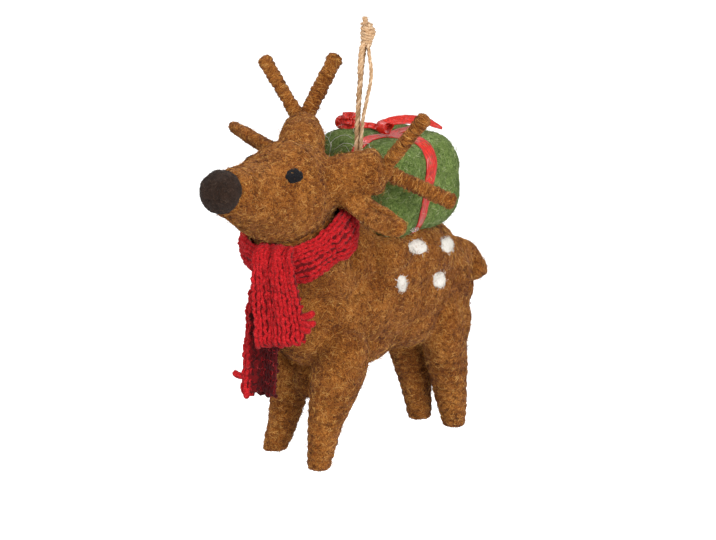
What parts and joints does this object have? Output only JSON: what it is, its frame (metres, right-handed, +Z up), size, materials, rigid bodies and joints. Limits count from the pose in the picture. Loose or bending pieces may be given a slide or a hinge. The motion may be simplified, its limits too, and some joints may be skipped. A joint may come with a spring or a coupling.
{
  "type": "felt reindeer hanging ornament",
  "caption": "Needle-felted wool reindeer ornament with wound antlers, a knitted scarf and a ribbon-tied felt gift on its back, hung on a knotted loop of jute twine.",
  "frame": {"origin": "top of the twine loop, just under its knot, where a hook or a twig carries the ornament", "axes": "+Z up, the deer looks along -Y, its left side is +X"},
  "size_m": [0.0782, 0.1203, 0.1398],
  "materials": {
    "brown_felt": "needle-felted heather brown wool",
    "dark_felt": "needle-felted dark brown wool",
    "black_felt": "tightly felted black wool",
    "white_felt": "needle-felted white wool",
    "green_felt": "needle-felted heather green wool",
    "red_knit": "stockinette knit in red wool yarn",
    "red_satin": "red satin ribbon",
    "jute_twine": "natural twisted jute",
    "steel_wire": "bare craft wire",
    "clear_glue": "clear hot-melt glue"
  },
  "bodies": {
    "hanger": {"twine_knot": "jute_twine"},
    "deer": {"twine_left_strand": "jute_twine", "twine_right_strand": "jute_twine", "twine_cut_end": "jute_twine", "twine_stitch": "jute_twine", "torso": "brown_felt", "neck": "brown_felt", "head": "brown_felt", "tail": "brown_felt", "front_left_leg": "brown_felt", "front_right_leg": "brown_felt", "hind_left_leg": "brown_felt", "hind_right_leg": "brown_felt", "left_ear": "brown_felt", "right_ear": "brown_felt", "left_antler_stalk": "brown_felt", "right_antler_stalk": "brown_felt", "left_front_tine_wire": "steel_wire", "left_rear_tine_wire": "steel_wire", "right_front_tine_wire": "steel_wire", "right_rear_tine_wire": "steel_wire", "left_front_tine_yarn": "brown_felt", "left_rear_tine_yarn": "brown_felt", "right_front_tine_yarn": "brown_felt", "right_rear_tine_yarn": "brown_felt", "spine_wire": "steel_wire", "front_leg_wire": "steel_wire", "hind_leg_wire": "steel_wire", "nose": "dark_felt", "left_eye": "black_felt", "right_eye": "black_felt", "left_spot_1": "white_felt", "left_spot_2": "white_felt", "left_spot_3": "white_felt", "left_spot_4": "white_felt", "right_spot_1": "white_felt", "right_spot_2": "white_felt", "right_spot_3": "white_felt", "right_spot_4": "white_felt", "gift_block": "green_felt", "side_ribbon_band": "red_satin", "front_ribbon_band": "red_satin", "back_ribbon_band": "red_satin", "bow_knot": "red_satin", "bow_loop": "red_satin", "glue_bead": "clear_glue", "scarf_wrap": "red_knit"},
    "scarf_front": {"scarf_front_end": "red_knit"},
    "scarf_back": {"scarf_back_end": "red_knit"},
    "ribbon_tail": {"bow_tail": "red_satin"}
  },
  "joints": [
    {"name": "deer_turn", "type": "hinge", "parent": "hanger", "child": "deer", "pos_m": [0, 0, 0], "axis": [0, 0, 1], "range_deg": [-180, 180]},
    {"name": "scarf_front_lift", "type": "hinge", "parent": "deer", "child": "scarf_front", "pos_m": [0.00047, -0.03974, -0.05903], "axis": [-0.9336, -0.3584, 0], "range_deg": [0, 55]},
    {"name": "scarf_back_swing", "type": "hinge", "parent": "deer", "child": "scarf_back", "pos_m": [-0.0108, -0.03384, -0.06693], "axis": [0, 1, 0], "range_deg": [0, 30]},
    {"name": "ribbon_tail_lift", "type": "hinge", "parent": "deer", "child": "ribbon_tail", "pos_m": [-0.0025, 0.0142, -0.03003], "axis": [0.9119, -0.4104, 0], "range_deg": [0, 35]}
  ]
}
